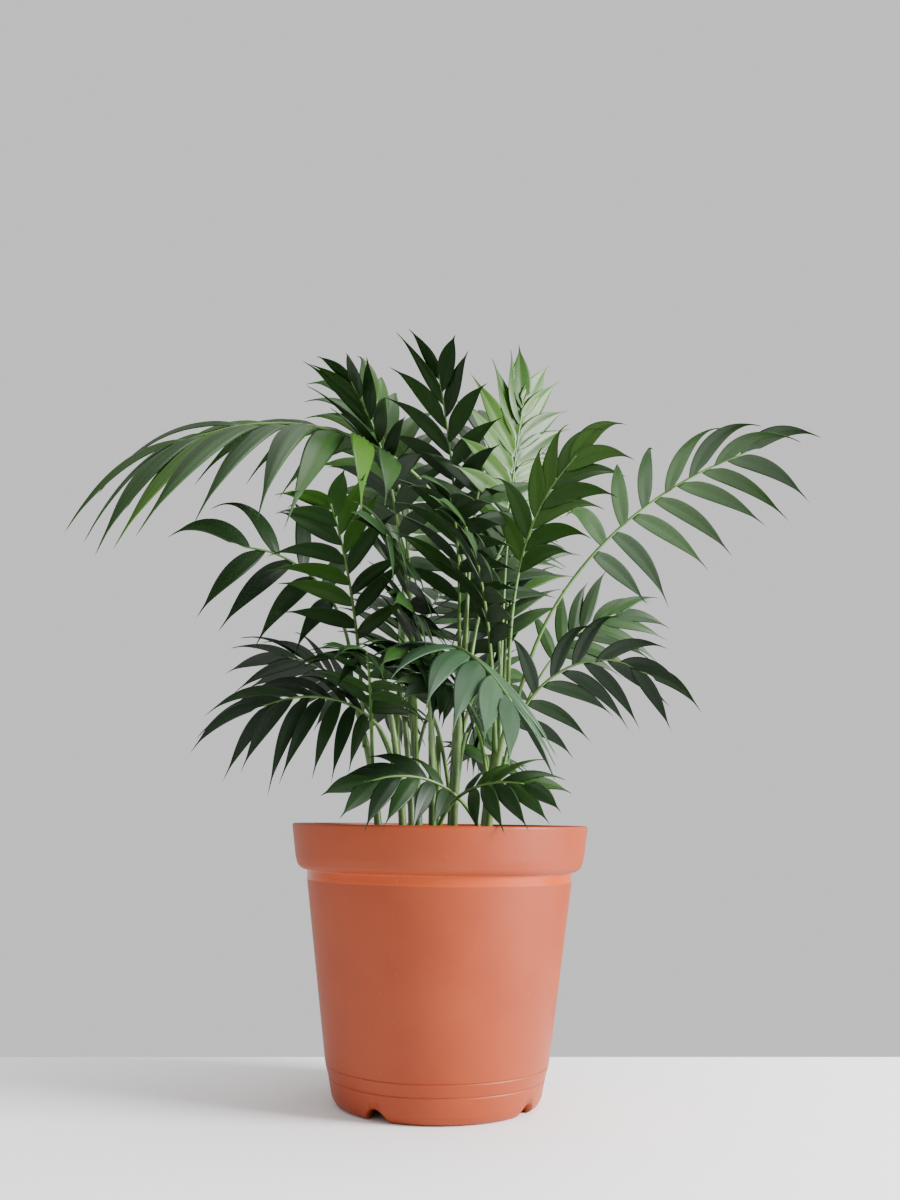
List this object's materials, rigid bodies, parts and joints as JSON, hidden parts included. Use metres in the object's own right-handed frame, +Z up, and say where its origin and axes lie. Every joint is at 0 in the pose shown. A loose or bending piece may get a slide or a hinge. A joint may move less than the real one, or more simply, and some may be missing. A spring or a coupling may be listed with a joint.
{
  "type": "potted bamboo palm",
  "caption": "Clump of slim green canes with arching feathery fronds, growing in soil in a round tapered nursery pot with a deep collar and a notched foot.",
  "frame": {"origin": "the pot's axis at the level of the foot that it stands on", "axes": "+Z up, -Y towards the viewer of the front, +X to that viewer's right"},
  "size_m": [0.4036, 0.2969, 0.4279],
  "materials": {
    "pot": "matte moulded plastic, terracotta coloured",
    "soil": "dark crumbly potting mix",
    "cane": "smooth green",
    "frond": "satin green leaf"
  },
  "bodies": {
    "root": {"cane_01": "cane", "cane_02": "cane", "cane_03": "cane", "cane_04": "cane", "cane_05": "cane", "cane_06": "cane", "cane_07": "cane", "cane_08": "cane", "cane_09": "cane", "cane_10": "cane", "cane_11": "cane", "cane_12": "cane", "frond_fill_02": "frond", "frond_fill_03": "frond", "frond_fill_04": "frond", "frond_fill_07": "frond", "frond_fill_09": "frond", "frond_fill_13": "frond", "frond_fill_14": "frond", "frond_fill_15": "frond", "frond_fill_16": "frond", "frond_fill_17": "frond", "frond_fill_18": "frond", "frond_fill_19": "frond", "frond_fill_21": "frond", "frond_fill_22": "frond", "frond_fill_23": "frond", "frond_fill_24": "frond", "frond_fill_25": "frond", "frond_fill_26": "frond", "frond_fill_27": "frond", "frond_fill_28": "frond", "frond_fill_29": "frond", "frond_fill_30": "frond", "frond_fill_31": "frond", "frond_fill_33": "frond", "frond_fill_34": "frond", "frond_front_pale": "frond", "frond_left_arching": "frond", "frond_left_middle": "frond", "frond_low_front_left": "frond", "frond_low_front_right": "frond", "frond_low_left": "frond", "frond_low_left_back": "frond", "frond_low_right": "frond", "frond_middle_right": "frond", "frond_right_arching": "frond", "frond_top_bright": "frond", "frond_top_left": "frond", "frond_top_right": "frond", "pot": "pot", "soil": "soil"}
  },
  "joints": []
}
